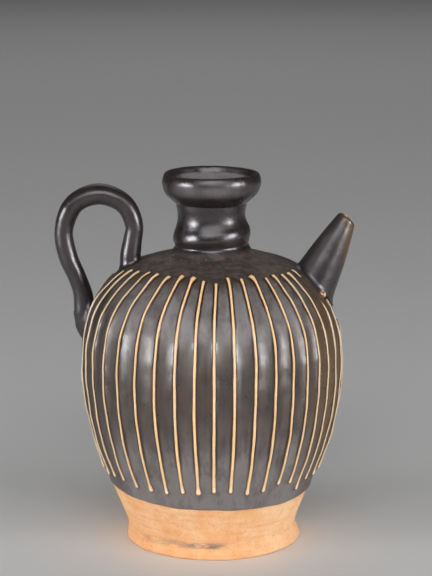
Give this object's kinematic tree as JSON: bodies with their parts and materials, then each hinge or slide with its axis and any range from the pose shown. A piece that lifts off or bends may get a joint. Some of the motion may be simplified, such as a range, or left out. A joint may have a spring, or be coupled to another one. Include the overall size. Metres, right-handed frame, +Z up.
{
  "type": "wine jug",
  "caption": "Round-bellied stoneware wine jug with a dish mouth on a ringed neck, a slender spout, a loop handle and ribs of trailed slip, for holding and pouring wine.",
  "frame": {"origin": "centre of the flat foot, on the jug's axis and on the plane that it stands on", "axes": "+Z up the axis to the mouth, +X towards the spout, -X towards the handle, -Y towards the pictured side"},
  "size_m": [0.1685, 0.1483, 0.21],
  "materials": {
    "black_glaze": "glossy black-brown glaze, brown where it runs thin over edges",
    "bare_clay": "bare fired buff stoneware, matt, with turning marks",
    "rib_slip": "cream slip showing through thin glaze, satin"
  },
  "bodies": {
    "root": {"foot": "bare_clay", "body": "black_glaze", "neck": "black_glaze", "mouth_dish": "black_glaze", "spout": "black_glaze", "handle": "black_glaze", "rib_01": "rib_slip", "rib_02": "rib_slip", "rib_03": "rib_slip", "rib_04": "rib_slip", "rib_05": "rib_slip", "rib_06": "rib_slip", "rib_07": "rib_slip", "rib_08": "rib_slip", "rib_09": "rib_slip", "rib_10": "rib_slip", "rib_11": "rib_slip", "rib_12": "rib_slip", "rib_13": "rib_slip", "rib_14": "rib_slip", "rib_15": "rib_slip", "rib_16": "rib_slip", "rib_17": "rib_slip", "rib_18": "rib_slip", "rib_19": "rib_slip", "rib_20": "rib_slip", "rib_21": "rib_slip", "rib_22": "rib_slip", "rib_23": "rib_slip", "rib_24": "rib_slip", "rib_25": "rib_slip", "rib_26": "rib_slip", "rib_27": "rib_slip", "rib_28": "rib_slip", "rib_29": "rib_slip", "rib_30": "rib_slip", "rib_31": "rib_slip", "rib_32": "rib_slip", "rib_33": "rib_slip", "rib_34": "rib_slip", "rib_35": "rib_slip", "rib_36": "rib_slip", "rib_37": "rib_slip", "rib_38": "rib_slip", "rib_39": "rib_slip", "rib_40": "rib_slip", "rib_41": "rib_slip"}
  },
  "joints": []
}
